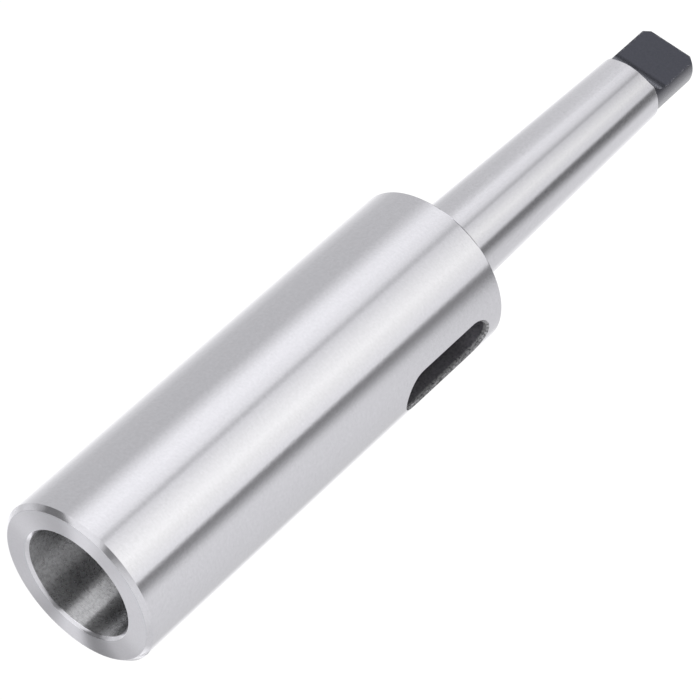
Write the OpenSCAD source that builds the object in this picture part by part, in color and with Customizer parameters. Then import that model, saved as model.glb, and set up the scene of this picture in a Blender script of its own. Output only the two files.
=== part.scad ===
// Morse taper adapter sleeve: a number 4 taper socket in a plain round body, on a number 3 taper shank
// with a tang. It stands on its socket face, with Z along the axis and the tang at the top. The drift
// slot runs through along X, and the tang's flats face +Y and -Y, so their width is in line with the slot.

/* [Body] */
// Outer diameter of the body
body_d = 46.5; // [38:0.5:60]
// Chamfer on the outer edge of the socket face
face_chamfer = 1.2; // [0.4:0.1:2.5]
// Chamfer on the outer edge of the shoulder
shoulder_chamfer = 0.55; // [0.3:0.05:2]
// Solid wall between the end of the drift slot and the shoulder
shoulder_wall = 5.9; // [3:0.1:20]

/* [Socket] */
// Socket diameter at the face, where its gauge line lies
socket_d = 31.267; // [24:0.001:33]
// Length over which the socket narrows by one on diameter
socket_taper = 19.254; // [18:0.001:21]
// Chamfer round the socket's mouth
mouth_chamfer = 0.8; // [0.3:0.1:1.5]
// How far the taper runs on past the start of the drift slot
taper_run = 4.2; // [1:0.1:10]
// Length of the clearance bore behind the taper
relief_length = 5.6; // [2:0.1:7]
// Point angle of the drill that made the clearance bore
drill_point_angle = 118; // [90:1:140]

/* [Drift slot] */
// Distance from the socket face to the start of the slot
slot_start = 97.2; // [80:0.1:125]
// Width of the slot between its flat sides
slot_width = 12.2; // [8:0.1:16]
// Length of the slot over its round ends
slot_length = 32.1; // [26:0.1:45]
// Chamfer that follows the slot's edge over the body
slot_chamfer = 0.65; // [0.3:0.05:1]

/* [Shank] */
// Length from the shoulder to the end of the tang
shank_length = 104.8; // [84:0.1:130]
// Diameter of the shank at its gauge line
gauge_d = 23.825; // [21:0.001:26]
// Distance from the gauge line to the end of the tang
gauge_to_end = 94; // [76:0.1:115]
// Length over which the shank narrows by one on diameter
shank_taper = 19.922; // [18:0.001:21]
// Fillet where the shank meets the shoulder
root_fillet = 0.8; // [0.4:0.1:2]
// Chamfer at the small end of the ground taper
taper_end_chamfer = 0.3; // [0.1:0.05:0.55]

/* [Tang] */
// Length of the turned end behind the ground taper
turned_length = 18.4; // [15:0.1:24]
// Depth of the step from the taper's small end down to the turned end
turned_step = 0.765; // [0.6:0.005:1.6]
// Thickness across the two flats
tang_thickness = 7.9; // [6.5:0.1:10]
// Length of the flats before the cutter runs out
flat_length = 13; // [10:0.1:16]
// Radius of the cutter that leaves the run-out
cutter_radius = 7; // [5:0.1:9]
// Chamfer round the end of the tang
tang_chamfer = 1.6; // [0.5:0.1:2]
// Diameter of the centre hole's pilot in the end of the tang
centre_pilot_d = 2; // [1:0.1:2.5]
// Depth of the centre hole's pilot
centre_pilot_depth = 4.2; // [3:0.1:6]
// Diameter of the centre hole's cone at the end face
centre_cone_d = 4.2; // [3:0.1:5]

/* [Hidden] */
$fn = 96;
// How far a cutting shape reaches past the surface that it opens through
overrun = 1;
// How far the slot's edge cutter reaches past its chamfer on each side
edge_overrun = 0.4;
// Included angle of the centre hole's cone
centre_angle = 60;
// Steps round the fillet, and round each end of the slot's edge cutter
fillet_steps = 6;
slot_end_steps = 24;

body_r = body_d / 2;
body_length = slot_start + slot_length + shoulder_wall;
total_length = body_length + shank_length;
slot_end_r = slot_width / 2;
slot_middle = slot_start + slot_length / 2;
slot_side_length = slot_length - slot_width;
gauge_z = total_length - gauge_to_end;
taper_end_z = total_length - turned_length;
flat_start_z = total_length - flat_length;

// Radius of the socket's wall at a depth from the face
function socket_r(depth) = (socket_d - depth / socket_taper) / 2;

// Radius of the ground shank at a height above the face
function shank_r(z) = (gauge_d - (z - gauge_z) / shank_taper) / 2;

// The clearance bore carries on at the diameter of the taper's small end
socket_length = slot_start + taper_run;
relief_r = socket_r(socket_length);
relief_depth = socket_length + relief_length;
drill_point_length = relief_r / tan(drill_point_angle / 2);
turned_r = shank_r(taper_end_z) - turned_step;

// Points of an arc about a centre, from one angle to another
function arc(centre, r, from, to, steps) =
    [for (i = [0:steps]) centre + r * [cos(from + (to - from) * i / steps), sin(from + (to - from) * i / steps)]];

// Turned and ground outline of the whole sleeve, as radius and height
module outline() {
    root_r = shank_r(body_length + root_fillet);
    fillet_centre = [root_r + root_fillet, body_length + root_fillet];
    polygon(concat(
        [
            [0, 0],
            [body_r - face_chamfer, 0],
            [body_r, face_chamfer],
            [body_r, body_length - shoulder_chamfer],
            [body_r - shoulder_chamfer, body_length]
        ],
        arc(fillet_centre, root_fillet, 270, 180, fillet_steps),
        [
            [shank_r(taper_end_z - taper_end_chamfer), taper_end_z - taper_end_chamfer],
            [shank_r(taper_end_z) - taper_end_chamfer, taper_end_z],
            [turned_r, taper_end_z],
            [turned_r, total_length - tang_chamfer],
            [turned_r - tang_chamfer, total_length],
            [0, total_length]
        ]
    ));
}

// Tapered socket, its mouth chamfer, and the drilled clearance bore behind it
module socket() {
    mouth_r = socket_r(mouth_chamfer) + mouth_chamfer;
    rotate_extrude() polygon([
        [0, -overrun],
        [mouth_r + overrun, -overrun],
        [socket_r(mouth_chamfer), mouth_chamfer],
        [relief_r, socket_length],
        [relief_r, relief_depth],
        [0, relief_depth + drill_point_length]
    ]);
}

// Outline of the drift slot, with full round ends, length along the first axis
module slot_outline() {
    square([slot_side_length, slot_width], center = true);
    for (side = [-1, 1]) translate([side * slot_side_length / 2, 0]) circle(slot_end_r);
}

// Slot through the body, along X
module drift_slot() {
    translate([0, 0, slot_middle]) rotate([0, -90, 0])
        linear_extrude(height = body_d + 2 * overrun, center = true) slot_outline();
}

// Turns round the slot's outline, each with the end that it belongs to: 1 at the top, -1 at the bottom
function slot_path() =
    [for (end = [1, -1], i = [0:slot_end_steps]) [end, 90 * (1 - end) + 180 * i / slot_end_steps]];

// A point near the slot's edge: out from the slot's wall, and down below the body's surface
function edge_point(end, turn, out, down) =
    let (reach = slot_end_r + out, y = reach * cos(turn))
        [sqrt(body_r * body_r - y * y) - down, y, slot_middle + end * slot_side_length / 2 + reach * sin(turn)];

// Three-sided cutter that follows the slot's edge over the round of the body, on the +X side
module slot_edge_cutter() {
    path = slot_path();
    n = len(path);
    far = slot_chamfer + edge_overrun;
    corners = [[far, -edge_overrun], [-edge_overrun, far], [-edge_overrun, -edge_overrun]];
    polyhedron(
        points = [for (p = path, c = corners) edge_point(p[0], p[1], c[0], c[1])],
        faces = [
            for (i = [0:n - 1], k = [0:2])
                let (a = 3 * i, b = 3 * ((i + 1) % n), j = (k + 1) % 3)
                    each [[a + k, a + j, b + j], [a + k, b + j, b + k]]
        ]
    );
}

// What the milling cutter takes off the +Y side of the tang, with its round run-out
module flat_cut() {
    translate([0, tang_thickness / 2, flat_start_z]) rotate([90, 0, 90])
        linear_extrude(height = body_d, center = true) {
            square([body_r, flat_length + overrun]);
            translate([cutter_radius, 0]) circle(cutter_radius);
            translate([cutter_radius, -cutter_radius]) square([body_r - cutter_radius, 2 * cutter_radius]);
        }
}

// Centre hole in the end of the tang, which the shank was ground on
module centre_hole() {
    cone_length = (centre_cone_d - centre_pilot_d) / 2 / tan(centre_angle / 2);
    slope = tan(centre_angle / 2);
    translate([0, 0, total_length]) rotate_extrude() polygon([
        [0, overrun],
        [centre_cone_d / 2 + overrun * slope, overrun],
        [centre_pilot_d / 2, -cone_length],
        [centre_pilot_d / 2, -centre_pilot_depth],
        [0, -centre_pilot_depth - centre_pilot_d / 2 / tan(drill_point_angle / 2)]
    ]);
}

// The whole sleeve, one piece of hardened and ground steel
module sleeve() {
    color([0.78, 0.78, 0.80])
        difference() {
            rotate_extrude() outline();
            socket();
            drift_slot();
            for (turn = [0, 180]) rotate([0, 0, turn]) slot_edge_cutter();
            for (turn = [0, 180]) rotate([0, 0, turn]) flat_cut();
            centre_hole();
        }
}

sleeve();
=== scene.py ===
# Morse taper sleeve: the camera, the light, and the turned, milled and ground piece itself.
import math

import bmesh
import bpy
from mathutils import Matrix, Vector


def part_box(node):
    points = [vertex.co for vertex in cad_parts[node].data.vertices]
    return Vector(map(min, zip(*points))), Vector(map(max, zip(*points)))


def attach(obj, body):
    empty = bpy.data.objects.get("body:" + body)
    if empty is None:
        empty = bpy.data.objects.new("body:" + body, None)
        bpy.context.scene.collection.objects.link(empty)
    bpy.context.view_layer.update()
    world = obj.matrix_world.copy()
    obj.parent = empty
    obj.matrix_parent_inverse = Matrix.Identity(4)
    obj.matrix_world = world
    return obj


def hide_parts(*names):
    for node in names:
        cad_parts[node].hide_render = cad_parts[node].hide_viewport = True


mm = 0.001
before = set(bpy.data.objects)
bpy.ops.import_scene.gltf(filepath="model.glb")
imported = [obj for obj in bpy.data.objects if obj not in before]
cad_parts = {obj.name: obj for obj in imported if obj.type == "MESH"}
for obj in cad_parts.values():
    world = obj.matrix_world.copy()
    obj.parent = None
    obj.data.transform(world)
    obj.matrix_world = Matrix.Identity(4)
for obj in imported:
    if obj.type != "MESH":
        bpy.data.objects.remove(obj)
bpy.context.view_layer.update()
sleeveLow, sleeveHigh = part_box("sleeve")
totalLength = sleeveHigh.z
bodyRadius = sleeveHigh.x
print("frame loaded:", round(totalLength / mm, 1), "mm long")


# Camera

cameraSettings = {
    "lens": 178.7,  # mm
    "sensor": 36,  # mm
    "clip": (0.05, 20),  # m
    "position": (0.28508, -0.68184, -0.36202),
    "right": (0.76936, -0.10733, 0.62974),
    "up": (-0.54999, -0.61274, 0.56750),
}


def makeCamera():
    data = bpy.data.cameras.new("camera")
    data.lens = cameraSettings["lens"]
    data.sensor_width = cameraSettings["sensor"]
    data.clip_start, data.clip_end = cameraSettings["clip"]
    camera = bpy.data.objects.new("camera", data)
    right = Vector(cameraSettings["right"]).normalized()
    back = right.cross(Vector(cameraSettings["up"])).normalized()
    up = back.cross(right)
    turn = Matrix((right, up, back)).transposed()
    camera.matrix_world = Matrix.Translation(cameraSettings["position"]) @ turn.to_4x4()
    bpy.context.scene.collection.objects.link(camera)
    bpy.context.scene.camera = camera


makeCamera()
print("camera placed")


# Shapes

zones = ["ground", "face", "bore", "turned", "slot", "edge", "flat"]
sleeveSizes = {  # mm
    "bodyLength": 135.2,
    "faceChamfer": 1.2,
    "shoulderChamfer": 0.55,
    "socketDiameter": 31.267,
    "socketTaper": 19.254,
    "mouthChamfer": 0.8,
    "socketLength": 101.4,
    "reliefDepth": 107.0,
    "drillPointAngle": 118.0,
    "gaugeDiameter": 23.825,
    "gaugeToEnd": 94.0,
    "shankTaper": 19.922,
    "rootFillet": 0.8,
    "turnedLength": 18.4,
    "turnedDiameter": 18.5,
    "taperEndChamfer": 0.3,
    "tangChamfer": 1.6,
    "centrePilotDiameter": 2.0,
    "centrePilotDepth": 4.2,
    "centreConeDiameter": 4.2,
    "centreConeAngle": 60.0,
    "edgeBreak": 0.12,  # how far each turned edge is rounded back
    "steps": 512,  # facets round the axis
    "edgeSteps": 3,
    "filletSteps": 8,
}
mergeDistance = 1e-7  # m, under which two corners are one
sharpAngle = 28  # degrees, over which a corner stays sharp
slotSizes = {  # mm
    "start": 97.2,
    "width": 12.2,
    "length": 32.1,
    "chamfer": 0.65,
    "endSteps": 24,  # facets in a quarter turn of the round end
    "overrun": 0.4,  # how far the flare reaches past the chamfer
    "past": 2.0,  # how far the cutter's ends stand off the body
    "wallTilt": 0.1,  # most that a wall's normal leans along X, as a share; the chamfer's leans more
}
tangSizes = {  # mm
    "thickness": 7.9,
    "flatLength": 13.0,
    "cutterRadius": 7.0,
    "runOutSteps": 24,
    "overrun": 2.0,
}


def shankRadius(z):
    s = sleeveSizes
    gaugeZ = totalLength - s["gaugeToEnd"] * mm
    return (s["gaugeDiameter"] * mm - (z - gaugeZ) / s["shankTaper"]) / 2


def socketRadius(z):
    s = sleeveSizes
    return (s["socketDiameter"] * mm - z / s["socketTaper"]) / 2


def turnedCorners():
    # Radius, height and kind of each corner, from the tang's centre hole round the outside to the drill point
    s = {name: value * mm for name, value in sleeveSizes.items()}
    drillSlope = math.tan(math.radians(sleeveSizes["drillPointAngle"] / 2))
    coneSlope = math.tan(math.radians(sleeveSizes["centreConeAngle"] / 2))
    pilot = s["centrePilotDiameter"] / 2
    cone = s["centreConeDiameter"] / 2
    tangRadius = s["turnedDiameter"] / 2
    reliefRadius = socketRadius(s["socketLength"])
    top = totalLength
    taperEnd = top - s["turnedLength"]
    mouth = s["mouthChamfer"]
    return [
        (0, top - s["centrePilotDepth"] - pilot / drillSlope, "axis"),
        (pilot, top - s["centrePilotDepth"], "plain"),
        (pilot, top - (cone - pilot) / coneSlope, "plain"),
        (cone, top, "plain"),
        (tangRadius - s["tangChamfer"], top, "edge"),
        (tangRadius, top - s["tangChamfer"], "edge"),
        (tangRadius, taperEnd, "plain"),
        (shankRadius(taperEnd) - s["taperEndChamfer"], taperEnd, "plain"),
        (shankRadius(taperEnd - s["taperEndChamfer"]), taperEnd - s["taperEndChamfer"], "plain"),
        (shankRadius(s["bodyLength"]), s["bodyLength"], "fillet"),
        (bodyRadius - s["shoulderChamfer"], s["bodyLength"], "edge"),
        (bodyRadius, s["bodyLength"] - s["shoulderChamfer"], "plain"),
        (bodyRadius, s["faceChamfer"], "plain"),
        (bodyRadius - s["faceChamfer"], 0, "edge"),
        (socketRadius(mouth) + mouth, 0, "edge"),
        (socketRadius(mouth), mouth, "edge"),
        (reliefRadius, s["socketLength"], "plain"),
        (reliefRadius, s["reliefDepth"], "plain"),
        (0, s["reliefDepth"] + reliefRadius / drillSlope, "axis"),
    ]


def turnedZone(place):
    # Which finish the lathe or the grinder left at this place
    s = {name: value * mm for name, value in sleeveSizes.items()}
    radius = math.hypot(place.x, place.y)
    margin = 0.05 * mm
    inside = radius < socketRadius(place.z) + margin and place.z < s["bodyLength"]
    if inside and place.z > s["mouthChamfer"] - margin:
        return "bore"
    if place.z < margin:
        return "face"
    return "turned" if place.z > totalLength - s["turnedLength"] - margin else "ground"


def meshObject(bm, name):
    mesh = bpy.data.meshes.new(name)
    bm.to_mesh(mesh)
    bm.free()
    made = bpy.data.objects.new(name, mesh)
    bpy.context.scene.collection.objects.link(made)
    return made


def turnedBlank():
    bm = bmesh.new()
    corners = turnedCorners()
    verts = [bm.verts.new((radius, 0, z)) for radius, z, kind in corners]
    for a, b in zip(verts, verts[1:]):
        bm.edges.new((a, b))
    rounds = (
        ("edge", sleeveSizes["edgeBreak"], sleeveSizes["edgeSteps"]),
        ("fillet", sleeveSizes["rootFillet"], sleeveSizes["filletSteps"]),
    )
    for kind, offset, segments in rounds:
        chosen = [v for v, corner in zip(verts, corners) if v.is_valid and corner[2] == kind]
        bmesh.ops.bevel(
            bm, geom=chosen, offset=offset * mm, offset_type="OFFSET", segments=segments,
            profile=0.5, affect="VERTICES", material=-1,
        )
    bmesh.ops.spin(
        bm, geom=bm.verts[:] + bm.edges[:], cent=(0, 0, 0), axis=(0, 0, 1),
        angle=math.tau, steps=sleeveSizes["steps"], use_merge=True,
    )
    bmesh.ops.remove_doubles(bm, verts=bm.verts[:], dist=mergeDistance)
    bmesh.ops.recalc_face_normals(bm, faces=bm.faces[:])
    for face in bm.faces:
        face.material_index = zones.index(turnedZone(face.calc_center_median()))
    return meshObject(bm, "taperSleeve")


def outlineLoop(bm, halfWidth, halfLength, radius, segments, rounded):
    # A rectangle in the YZ plane with the chosen corners rounded, as one loop of edges
    corners = [(-1, -1), (1, -1), (1, 1), (-1, 1)]
    verts = [bm.verts.new((0, y * halfWidth, z * halfLength)) for y, z in corners]
    for i in range(4):
        bm.edges.new((verts[i], verts[(i + 1) % 4]))
    before = set(bm.verts) - set(verts)
    bmesh.ops.bevel(
        bm, geom=[verts[i] for i in rounded], offset=radius, offset_type="OFFSET",
        segments=segments, profile=0.5, affect="VERTICES", material=-1,
    )
    made = [v for v in bm.verts if v not in before]
    bmesh.ops.remove_doubles(bm, verts=made, dist=mergeDistance)
    return [v for v in bm.verts if v not in before]


def loopEdges(verts):
    chosen = set(verts)
    return list(dict.fromkeys(e for v in verts for e in v.link_edges if e.other_vert(v) in chosen))


def slotCutter():
    # Lofted along X: the slot's own outline inside, and its chamfer flaring out over the round of the body
    s = {name: value * mm for name, value in slotSizes.items()}
    middle = s["start"] + s["length"] / 2
    flare = s["chamfer"] + s["overrun"]
    past = bodyRadius + s["past"]
    levels = [  # outward offset of the outline, height over the body's surface or None for the flat end
        (flare, None),
        (flare, s["overrun"]),
        (0, -s["chamfer"]),
    ]
    bm = bmesh.new()
    loops = []
    for side in (1, -1):
        for offset, height in levels if side > 0 else reversed(levels):
            halfWidth = s["width"] / 2 + offset
            halfLength = s["length"] / 2 + offset
            verts = outlineLoop(bm, halfWidth, halfLength, halfWidth, slotSizes["endSteps"], (0, 1, 2, 3))
            for v in verts:
                surface = math.sqrt(bodyRadius ** 2 - v.co.y ** 2)
                v.co.x = side * (past if height is None else surface + height)
                v.co.z += middle
            loops.append(verts)
    for a, b in zip(loops, loops[1:]):
        bmesh.ops.bridge_loops(bm, edges=loopEdges(a) + loopEdges(b))
    bmesh.ops.edgeloop_fill(bm, edges=loopEdges(loops[0]) + loopEdges(loops[-1]))
    bmesh.ops.recalc_face_normals(bm, faces=bm.faces[:])
    for face in bm.faces:
        alongX = abs(face.normal.x) < slotSizes["wallTilt"]
        face.material_index = zones.index("slot" if alongX else "edge")
    return meshObject(bm, "slotCutter")


def flatCutter(side):
    # What the milling cutter takes off one side of the tang, with its round run-out
    s = {name: value * mm for name, value in tangSizes.items()}
    near = s["thickness"] / 2
    far = bodyRadius
    bottom = totalLength - s["flatLength"] - s["cutterRadius"]
    top = totalLength + s["overrun"]
    bm = bmesh.new()
    outlineLoop(bm, (far - near) / 2, (top - bottom) / 2, s["cutterRadius"], tangSizes["runOutSteps"], (0,))
    bmesh.ops.edgeloop_fill(bm, edges=bm.edges[:])
    bmesh.ops.translate(bm, verts=bm.verts[:], vec=(-bodyRadius, (near + far) / 2, (top + bottom) / 2))
    made = bmesh.ops.extrude_face_region(bm, geom=bm.faces[:])
    moved = [v for v in made["geom"] if isinstance(v, bmesh.types.BMVert)]
    bmesh.ops.translate(bm, verts=moved, vec=(2 * bodyRadius, 0, 0))
    if side < 0:
        bmesh.ops.rotate(bm, verts=bm.verts[:], cent=(0, 0, 0), matrix=Matrix.Rotation(math.pi, 3, "Z"))
    bmesh.ops.recalc_face_normals(bm, faces=bm.faces[:])
    for face in bm.faces:
        face.material_index = zones.index("flat")
    return meshObject(bm, "flatCutter")


def cutAway(piece, cutter):
    cut = piece.modifiers.new("cut", "BOOLEAN")
    cut.operation = "DIFFERENCE"
    cut.solver = "EXACT"
    cut.object = cutter
    bakeModifiers(piece)
    bpy.data.objects.remove(cutter)


def bakeModifiers(piece):
    view = bpy.context.evaluated_depsgraph_get()
    view.update()
    made = bpy.data.meshes.new_from_object(piece.evaluated_get(view))
    piece.modifiers.clear()
    piece.data = made


def smoothFaces(piece):
    # Smooth shading that keeps the flat faces flat and the corners sharp
    piece.data.shade_smooth()
    piece.data.set_sharp_from_angle(angle=math.radians(sharpAngle))
    even = piece.modifiers.new("even", "WEIGHTED_NORMAL")
    even.mode = "FACE_AREA"
    even.keep_sharp = True
    bakeModifiers(piece)


sleeve = turnedBlank()
print("blank turned:", len(sleeve.data.polygons), "faces")
cutAway(sleeve, slotCutter())
print("drift slot cut:", len(sleeve.data.polygons), "faces")
for side in (1, -1):
    cutAway(sleeve, flatCutter(side))
smoothFaces(sleeve)
print("tang milled:", len(sleeve.data.polygons), "faces")


# Finishes

finishSettings = {
    # colour, contrast of its tone, roughness, stretch of the highlight across the tool marks, depths of the
    # marks and the specks in mm, lean of the shaded normal away from the axis and upwards; for some also the
    # spread of the grain, the colour of the darkening towards the flats and of the painted shade in the
    # step's corner, and a lighter rim, which on the slot is painted light and on the flats is wear with a
    # painted
    # highlight: the depths in mm where it starts and where it is full, the level of the grain where it
    # begins, and its colour
    "ground": {
        "color": (0.856, 0.850, 0.896), "tone": 0.05, "roughness": 0.14, "stretch": 0.60,
        "marks": 0.00040, "specks": 0.0060, "lean": None,
    },
    "face": {
        "color": (0.856, 0.850, 0.896), "tone": 0.05, "roughness": 0.40, "stretch": 1.0,
        "marks": 0.00010, "specks": 0.0030, "lean": (-0.32, 0),
    },
    "bore": {
        "color": (0.375, 0.375, 0.386), "tone": 0.22, "roughness": 0.28, "stretch": 1.0,
        "marks": 0.00010, "specks": 0.0010, "lean": (0, -0.50), "spread": (2.4, 1.0),
    },
    "turned": {
        "color": (0.439, 0.439, 0.468), "tone": 0.15, "roughness": 0.28, "stretch": 0.5,
        # its second colour darkens the turned end towards the flats and paints shade into the corner of the
        # step
        "marks": 0.0006, "specks": 0.0050, "lean": None, "flatsDarkAndStepShade": (0.098, 0.098, 0.116),
    },
    "slot": {
        "color": (0.249, 0.243, 0.266), "tone": 0.5, "roughness": 0.55, "stretch": 0,
        # its rim is lighter near the body's surface: painted light where light reaches only the outer part of
        # the slot's walls
        "marks": 0.0002, "specks": 0.0060, "lean": None, "rimLightAndWear": (1.6, 1.1, 0.92, (0.717, 0.717, 0.729)),
    },
    "edge": {
        "color": (0.359, 0.359, 0.370), "tone": 0.5, "roughness": 0.40, "stretch": 0,
        "marks": 0.0002, "specks": 0.0040, "lean": None, "spread": (5, 1.0),
    },
    "flat": {
        "color": (0.106, 0.109, 0.132), "tone": 0.12, "roughness": 0.34, "stretch": 0,
        # their rim is lighter along the edges: wear through the dark finish and a painted highlight
        "marks": 0.0001, "specks": 0.0010, "lean": None, "rimLightAndWear": (0.5, 0.2, 1.11, (0.324, 0.324, 0.347)),
    },
}
grainSettings = {
    "marksPerMetre": 7000,  # how close the tool marks lie
    "marksRound": 14,  # how often their tone changes round the axis
    "specksPerMetre": 1300,
    "darkTowardsFlats": (0.5, 4.2),  # mm from the middle of the turned side, from no darkening to full
    "paintedStepShade": (1.6, 0.2),  # mm from the step, the same way, for the painted shade in its corner
    "noiseDetail": 2,
    "marksSharpness": 0.6,
    "specksSharpness": 0.5,
    "spread": (1.2, 1.0),  # how steeply dark gives way to light and where, unless a finish has its own
    "rimLightAndWearSlope": 6,  # the same steepness in the lighter rim, painted light on the slot and wear with a painted highlight on the flats
    "roughness": (0.85, 0.3),  # share that is everywhere, and share that the specks add
    "stretchTurn": 0.25,  # turns between the tangent and the way the highlight stretches
}


def link(tree, fromSocket, toSocket):
    tree.links.new(fromSocket, toSocket)


def mathNode(tree, operation, *values):
    node = tree.nodes.new("ShaderNodeMath")
    node.operation = operation
    for socket, value in zip(node.inputs, values):
        if isinstance(value, bpy.types.NodeSocket):
            link(tree, value, socket)
        else:
            socket.default_value = value
    return node.outputs[0]


def mixColor(tree, factor, a, b):
    mix = tree.nodes.new("ShaderNodeMix")
    mix.data_type = "RGBA"
    sockets = [socket for socket in mix.inputs if socket.enabled]
    for socket, value in zip(sockets, (factor, a, b)):
        if isinstance(value, bpy.types.NodeSocket):
            link(tree, value, socket)
        else:
            socket.default_value = value
    return next(socket for socket in mix.outputs if socket.enabled)


def vectorNode(tree, operation, *values):
    node = tree.nodes.new("ShaderNodeVectorMath")
    node.operation = operation
    second = 3 if operation == "SCALE" else 1
    for socket, value in zip((node.inputs[0], node.inputs[second]), values):
        if isinstance(value, bpy.types.NodeSocket):
            link(tree, value, socket)
        else:
            socket.default_value = value
    return next(socket for socket in node.outputs if socket.enabled)


def grainGroup():
    # Tool marks that run round the axis, on the outside as well as on the end faces, and finer specks
    group = bpy.data.node_groups.new("toolMarks", "ShaderNodeTree")
    # Scale carries the darkening towards the flats and the painted shade in the corner of the step
    for name in ("Marks", "Specks", "Scale", "Depth"):
        group.interface.new_socket(name=name, in_out="OUTPUT", socket_type="NodeSocketFloat")
    group.interface.new_socket(name="Outward", in_out="OUTPUT", socket_type="NodeSocketVector")
    out = group.nodes.new("NodeGroupOutput")
    place = group.nodes.new("ShaderNodeTexCoord").outputs["Object"]
    flat = vectorNode(group, "MULTIPLY", place, (1, 1, 0))
    radius = vectorNode(group, "LENGTH", flat)
    outward = vectorNode(group, "NORMALIZE", flat)
    link(group, outward, out.inputs["Outward"])
    around = grainSettings["marksRound"]
    across = grainSettings["marksPerMetre"]
    turned = vectorNode(group, "MULTIPLY", outward, (around, around, 0))
    lifted = vectorNode(group, "ADD", turned, vectorNode(group, "MULTIPLY", place, (0, 0, across)))
    marks = group.nodes.new("ShaderNodeTexNoise")
    marks.noise_dimensions = "4D"
    marks.inputs["Scale"].default_value = 1
    marks.inputs["Detail"].default_value = grainSettings["noiseDetail"]
    marks.inputs["Roughness"].default_value = grainSettings["marksSharpness"]
    link(group, lifted, marks.inputs["Vector"])
    link(group, mathNode(group, "MULTIPLY", radius, across), marks.inputs["W"])
    link(group, marks.outputs["Fac"], out.inputs["Marks"])
    specks = group.nodes.new("ShaderNodeTexNoise")
    specks.inputs["Scale"].default_value = grainSettings["specksPerMetre"]
    specks.inputs["Detail"].default_value = grainSettings["noiseDetail"]
    specks.inputs["Roughness"].default_value = grainSettings["specksSharpness"]
    link(group, place, specks.inputs["Vector"])
    link(group, specks.outputs["Fac"], out.inputs["Specks"])
    link(group, flatsDarkAndStepShadeMask(group, place), out.inputs["Scale"])
    link(group, rimDepth(group, place, radius), out.inputs["Depth"])
    return group


def flatsDarkAndStepShadeMask(tree, place):
    # Darker on the turned end, most beside the flats, and painted shade in the corner of the step
    parts = tree.nodes.new("ShaderNodeSeparateXYZ")
    link(tree, place, parts.inputs[0])
    aside = mathNode(tree, "ABSOLUTE", parts.outputs["Y"])
    start = totalLength - sleeveSizes["turnedLength"] * mm
    masks = []
    for value, far, near in (
        (aside, *grainSettings["darkTowardsFlats"]),
        (mathNode(tree, "SUBTRACT", parts.outputs["Z"], start), *grainSettings["paintedStepShade"]),
    ):
        mask = tree.nodes.new("ShaderNodeMapRange")
        mask.inputs["From Min"].default_value = far * mm
        mask.inputs["From Max"].default_value = near * mm
        link(tree, value, mask.inputs["Value"])
        masks.append(mask.outputs["Result"])
    return mathNode(tree, "MAXIMUM", *masks)


def rimDepth(tree, place, radius):
    # How deep a place lies under the nearest outer surface: of the body, of the tang, or of its end
    s = {name: value * mm for name, value in sleeveSizes.items()}
    parts = tree.nodes.new("ShaderNodeSeparateXYZ")
    link(tree, place, parts.inputs[0])
    z = parts.outputs["Z"]
    onTang = mathNode(tree, "GREATER_THAN", z, s["bodyLength"])
    outer = mathNode(tree, "MULTIPLY_ADD", onTang, s["turnedDiameter"] / 2 - bodyRadius, bodyRadius)
    past = mathNode(tree, "MAXIMUM", mathNode(tree, "SUBTRACT", z, totalLength - s["tangChamfer"]), 0)
    aside = mathNode(tree, "SUBTRACT", mathNode(tree, "SUBTRACT", outer, past), radius)
    return mathNode(tree, "MINIMUM", aside, mathNode(tree, "SUBTRACT", totalLength, z))


def stepMask(tree, value, slope, middle):
    mask = mathNode(tree, "MULTIPLY_ADD", value, slope, 0.5 - slope * middle)
    mask.node.use_clamp = True
    return mask


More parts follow.
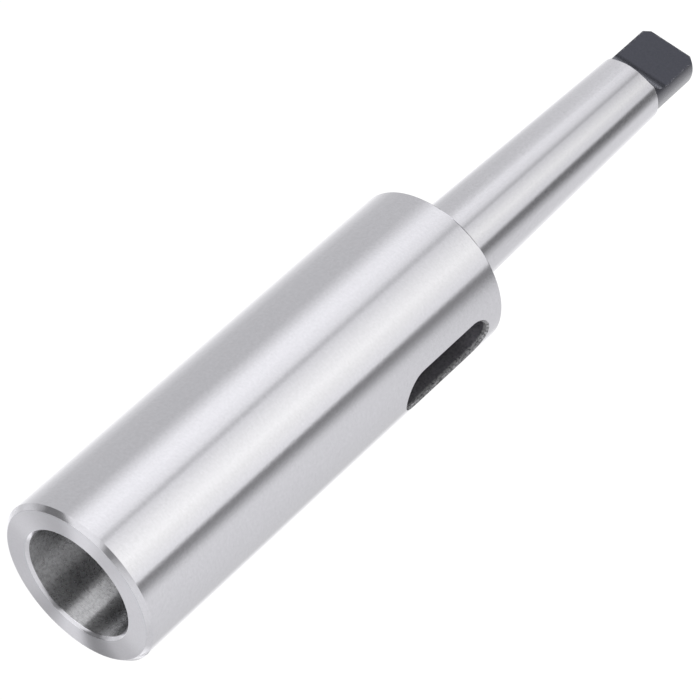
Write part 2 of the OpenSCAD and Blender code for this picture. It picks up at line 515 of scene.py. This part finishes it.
def makeFinish(name, grain):
    s = finishSettings[name]
    material = bpy.data.materials.new(name + "Steel")
    material.use_nodes = True
    tree = material.node_tree
    shader = tree.nodes["Principled BSDF"]
    shader.inputs["Metallic"].default_value = 1
    if s["stretch"]:
        shader.inputs["Anisotropic"].default_value = s["stretch"]
        shader.inputs["Anisotropic Rotation"].default_value = grainSettings["stretchTurn"]
        tangent = tree.nodes.new("ShaderNodeTangent")
        tangent.direction_type = "RADIAL"
        tangent.axis = "Z"
        link(tree, tangent.outputs["Tangent"], shader.inputs["Tangent"])
    marks = tree.nodes.new("ShaderNodeGroup")
    marks.node_tree = grain
    both = mathNode(tree, "ADD", marks.outputs["Marks"], marks.outputs["Specks"])
    spread = stepMask(tree, both, *s.get("spread", grainSettings["spread"]))
    dark, light = ((*(min(c * k, 1) for c in s["color"]), 1) for k in (1 - s["tone"], 1 + s["tone"]))
    color = mixColor(tree, spread, dark, light)
    # darker towards the flats, and painted shade in the corner of the step
    if "flatsDarkAndStepShade" in s:
        color = mixColor(tree, marks.outputs["Scale"], color, (*s["flatsDarkAndStepShade"], 1))
    # a lighter rim near the outer surface: painted light on the slot's walls, wear and a painted highlight
    # along the flats' edges
    if "rimLightAndWear" in s:
        start, full, level, tint = s["rimLightAndWear"]
        rim = stepMask(tree, marks.outputs["Depth"], 1 / (full - start) / mm, (start + full) / 2 * mm)
        rimLightAndWearMask = mathNode(tree, "MULTIPLY", rim, stepMask(tree, both, grainSettings["rimLightAndWearSlope"], level))
        color = mixColor(tree, rimLightAndWearMask, color, (*tint, 1))
    link(tree, color, shader.inputs["Base Color"])
    even, added = (share * s["roughness"] for share in grainSettings["roughness"])
    rough = mathNode(tree, "MULTIPLY_ADD", marks.outputs["Specks"], added, even)
    link(tree, rough, shader.inputs["Roughness"])
    depth = mathNode(tree, "MULTIPLY", marks.outputs["Marks"], s["marks"] * mm)
    height = mathNode(tree, "MULTIPLY_ADD", marks.outputs["Specks"], s["specks"] * mm, depth)
    bump = tree.nodes.new("ShaderNodeBump")
    bump.inputs["Strength"].default_value = 1
    bump.inputs["Distance"].default_value = 1
    link(tree, height, bump.inputs["Height"])
    normal = bump.outputs["Normal"]
    if s["lean"]:
        outward, upward = s["lean"]
        lean = vectorNode(tree, "SCALE", marks.outputs["Outward"], outward)
        lean = vectorNode(tree, "ADD", lean, (0, 0, upward))
        normal = vectorNode(tree, "NORMALIZE", vectorNode(tree, "ADD", normal, lean))
    link(tree, normal, shader.inputs["Normal"])
    return material


grain = grainGroup()
for name in zones:
    sleeve.data.materials.append(makeFinish(name, grain))
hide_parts("sleeve")
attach(sleeve, "root")
print("finishes made")


# Light

skySettings = {
    "strength": 1.15,
    # rings of panels from straight down to straight up: between which heights on a unit sphere each one takes
    # over from the ring under it, and its panels as azimuth from -180 to 180 degrees, brightness and warmth
    "rings": {
        "deep": (None, [
            (-180, 0.75), (-155, 0.80), (-120, 0.80), (-98, 0.68), (-86, 0.40), (-80, 0.21), (-62, 0.22),
            (-50, 0.36), (-32, 0.52), (-12, 0.62), (20, 0.68), (112, 0.64), (150, 0.70),
        ]),
        "low": ((-0.86, -0.83), [
            (-180, 0.16), (-159, 0.16), (-155, 0.50), (-149, 0.73), (-130, 0.78), (-95, 0.72), (-86, 0.50),
            (-82, 0.06), (-40, 0.06), (-32, 0.30), (-12, 0.62), (20, 0.66), (60, 0.62), (120, 0.58),
            (136, 0.30), (146, 0.14),
        ]),
        "skirt": ((-0.62, -0.48), [
            (-180, 0.20), (-165, 0.06), (-133, 0.04), (-127, 2.10), (-97, 2.00), (-89, 0.40), (-84, 0.04),
            (-38, 0.04), (-28, 0.30), (-10, 0.50), (8, 0.48), (25, 0.40), (45, 0.56), (70, 0.56), (90, 0.57),
            (103, 0.74), (110, 0.70), (118, 0.54), (128, 0.40), (145, 0.46), (152, 0.62), (162, 0.58),
            (172, 0.36),
        ]),
        "band": ((-0.30, -0.22), [  # the backdrop of level views
            (-180, 0.90), (-169, 0.90), (-152, 0.50), (-138, 0.46), (-112, 0.76), (-88, 0.60), (-68, 0.74),
            (-56, 0.90), (-34, 0.90), (-20, 0.42), (0, 0.48), (40, 0.50), (70, 0.54), (81, 0.90), (98, 0.90),
            (104, 0.66), (109, 0.70), (116, 0.88), (123, 1.00), (130, 0.90), (138, 0.73), (150, 0.56),
            (160, 0.60),
            (170, 0.90),
        ]),
        "rise": ((0.08, 0.15), [  # what the outer chamfer mirrors at its sides
            (-180, 0.54), (-140, 0.54), (-110, 0.84), (-88, 0.68), (-66, 0.84), (-40, 0.84), (-20, 0.46),
            (0, 0.50),
            (60, 0.54), (92, 0.50), (99, 0.58), (109, 0.68), (116, 0.86), (123, 1.00), (130, 0.90),
            (138, 0.73),
            (146, 0.66), (170, 0.52),
        ]),
        "level": ((0.26, 0.42), [  # what the body mirrors
            (-180, 0.47), (-143, 0.46), (-137, 0.54), (-129, 0.69), (-121, 0.84), (-109, 0.88), (-93, 0.77),
            (-89, 0.62), (-86, 0.47), (-84, 0.50), (-81, 0.66), (-66, 0.82, 0.02), (-51, 0.93, 0.03),
            (-40, 0.83, 0.03), (-25, 0.76), (-22, 0.72), (-20, 0.34), (-17, 0.18), (-11, 0.25), (0, 0.57),
            (5, 0.64), (60, 0.57), (81, 0.55), (98, 0.88), (117, 0.92), (128, 0.88), (150, 0.63), (170, 0.48),
        ]),
        "high": ((0.55, 0.59), [  # what the shank mirrors next to the shoulder
            (-180, 0.50), (-145, 0.49), (-132, 0.56), (-123, 0.71), (-113, 0.74), (-98, 0.67), (-91, 0.54),
            (-86, 0.45), (-84, 0.46), (-80, 0.57), (-60, 0.71, 0.02), (-48, 0.78, 0.03), (-28, 0.64),
            (-22, 0.54),
            (-18, 0.34), (-14, 0.19), (-4, 0.18), (3, 0.25), (9, 0.38), (17, 0.48), (28, 0.54), (64, 0.62),
            (82, 0.80), (97, 0.88), (110, 0.95), (132, 0.88), (150, 0.66), (170, 0.54),
        ]),
        "shank": ((0.61, 0.645), [  # and what the rest of it does
            (-180, 0.58), (-145, 0.57), (-132, 0.64), (-123, 0.80), (-113, 0.82), (-98, 0.72), (-91, 0.58),
            (-86, 0.47), (-84, 0.48), (-80, 0.63), (-60, 0.81, 0.02), (-48, 0.86, 0.03), (-28, 0.71),
            (-22, 0.66),
            (-19, 0.60), (-15, 0.28), (-11, 0.05), (-5, 0.02), (1, 0.04), (6, 0.09), (10, 0.15), (14, 0.23),
            (18, 0.33), (22, 0.45), (27, 0.58), (34, 0.66), (64, 0.70), (96, 0.88), (110, 0.95), (132, 0.88),
            (150, 0.70), (170, 0.61),
        ]),
        "top": ((0.66, 0.74), [  # lit for the tang's run-out, dark twice for the shoulder's chamfer
            (-180, 1.10), (-140, 1.10), (-130, 0.02), (-25, 0.02), (-10, 0.80), (48, 0.70), (62, 0.02),
            (150, 0.02),
            (162, 1.10),
        ]),
        "zenith": ((0.95, 0.98), [(-180, 2.60), (0, 2.60)]),
    },
}


def panelRamp(tree, fac, panels):
    ramp = tree.nodes.new("ShaderNodeValToRGB")
    stops = ramp.color_ramp.elements
    while len(stops) < len(panels):
        stops.new(0.5)
    for stop, (azimuth, level, *warmth) in zip(stops, panels):
        stop.position = (azimuth + 180) / 360
        stop.color = (level, level, level * (1 - sum(warmth)), 1)
    link(tree, fac, ramp.inputs["Fac"])
    return ramp.outputs["Color"]


def heightMask(tree, height, edge):
    mask = tree.nodes.new("ShaderNodeMapRange")
    mask.interpolation_type = "SMOOTHSTEP"
    mask.inputs["From Min"].default_value = edge[0]
    mask.inputs["From Max"].default_value = edge[1]
    link(tree, height, mask.inputs["Value"])
    return mask.outputs["Result"]


def makeSky():
    # The same panels for every kind of ray: the metal mirrors the backdrop that the camera sees, which is
    # white behind the object in the main view and behind it in the level views from the front, side and rear
    world = bpy.data.worlds.new("sky")
    bpy.context.scene.world = world
    world.use_nodes = True
    tree = world.node_tree
    tree.nodes.clear()
    aim = tree.nodes.new("ShaderNodeTexCoord").outputs["Generated"]
    around = tree.nodes.new("ShaderNodeTexGradient")
    around.gradient_type = "RADIAL"
    link(tree, aim, around.inputs["Vector"])
    parts = tree.nodes.new("ShaderNodeSeparateXYZ")
    link(tree, aim, parts.inputs[0])
    color = None
    for edge, panels in skySettings["rings"].values():
        ring = panelRamp(tree, around.outputs["Fac"], panels)
        color = mixColor(tree, heightMask(tree, parts.outputs["Z"], edge), color, ring) if edge else ring
    lit = tree.nodes.new("ShaderNodeBackground")
    link(tree, color, lit.inputs["Color"])
    lit.inputs["Strength"].default_value = skySettings["strength"]
    out = tree.nodes.new("ShaderNodeOutputWorld")
    link(tree, lit.outputs["Background"], out.inputs["Surface"])


makeSky()
print("light set")


# Floor

floorSettings = {
    "radius": 1.6,  # m
    "segments": 96,
    "drop": 0.0002,  # m under the socket face
    "open": 0.030,  # m from the axis, within which only the camera meets it
    "color": 0.78,
    "fade": (0.35, 1.40),  # m from the axis, over which it gives way to the white backdrop
    "lampPlace": (-0.55, -0.65, 1.10),  # m
    "lampSize": 0.60,
    "lampPower": 9.5,  # W
}


def makeFloor():
    # Pale ground, solid from above to camera and metal alike and clear from below, where the main view looks
    # up at the socket face. What leaves the metal passes it close round that face.
    s = floorSettings
    bm = bmesh.new()
    bmesh.ops.create_circle(bm, cap_ends=True, radius=s["radius"], segments=s["segments"])
    bmesh.ops.translate(bm, verts=bm.verts[:], vec=(0, 0, -s["drop"]))
    floor = meshObject(bm, "floor")
    material = bpy.data.materials.new("paleFloor")
    material.use_nodes = True
    tree = material.node_tree
    tree.nodes.clear()
    diffuse = tree.nodes.new("ShaderNodeBsdfDiffuse")
    diffuse.inputs["Color"].default_value = (s["color"], s["color"], s["color"], 1)
    clear = tree.nodes.new("ShaderNodeBsdfTransparent")
    place = tree.nodes.new("ShaderNodeTexCoord").outputs["Object"]
    fade = tree.nodes.new("ShaderNodeMapRange")
    fade.interpolation_type = "SMOOTHSTEP"
    for name, value in zip(("From Min", "From Max", "To Min", "To Max"), (*s["fade"], 1, 0)):
        fade.inputs[name].default_value = value
    reach = vectorNode(tree, "LENGTH", place)
    link(tree, reach, fade.inputs["Value"])
    seen = tree.nodes.new("ShaderNodeLightPath").outputs["Is Camera Ray"]
    clearOf = mathNode(tree, "GREATER_THAN", reach, s["open"])
    under = tree.nodes.new("ShaderNodeNewGeometry").outputs["Backfacing"]
    above = mathNode(tree, "SUBTRACT", mathNode(tree, "MAXIMUM", seen, clearOf), under)
    above.node.use_clamp = True
    mix = tree.nodes.new("ShaderNodeMixShader")
    link(tree, mathNode(tree, "MULTIPLY", above, fade.outputs["Result"]), mix.inputs["Fac"])
    link(tree, clear.outputs["BSDF"], mix.inputs[1])
    link(tree, diffuse.outputs["BSDF"], mix.inputs[2])
    out = tree.nodes.new("ShaderNodeOutputMaterial")
    link(tree, mix.outputs["Shader"], out.inputs["Surface"])
    floor.data.materials.append(material)


def makeLamp():
    # A soft lamp for the shadow on the floor: what the metal mirrors is the sky and that floor
    s = floorSettings
    data = bpy.data.lights.new("lamp", "AREA")
    data.size = s["lampSize"]
    data.energy = s["lampPower"]
    lamp = bpy.data.objects.new("lamp", data)
    place = Vector(s["lampPlace"])
    lamp.matrix_world = Matrix.Translation(place) @ place.to_track_quat("Z", "Y").to_matrix().to_4x4()
    lamp.visible_glossy = False
    bpy.context.scene.collection.objects.link(lamp)


makeFloor()
makeLamp()
bpy.context.scene.view_settings.view_transform = "Standard"
print("floor laid")
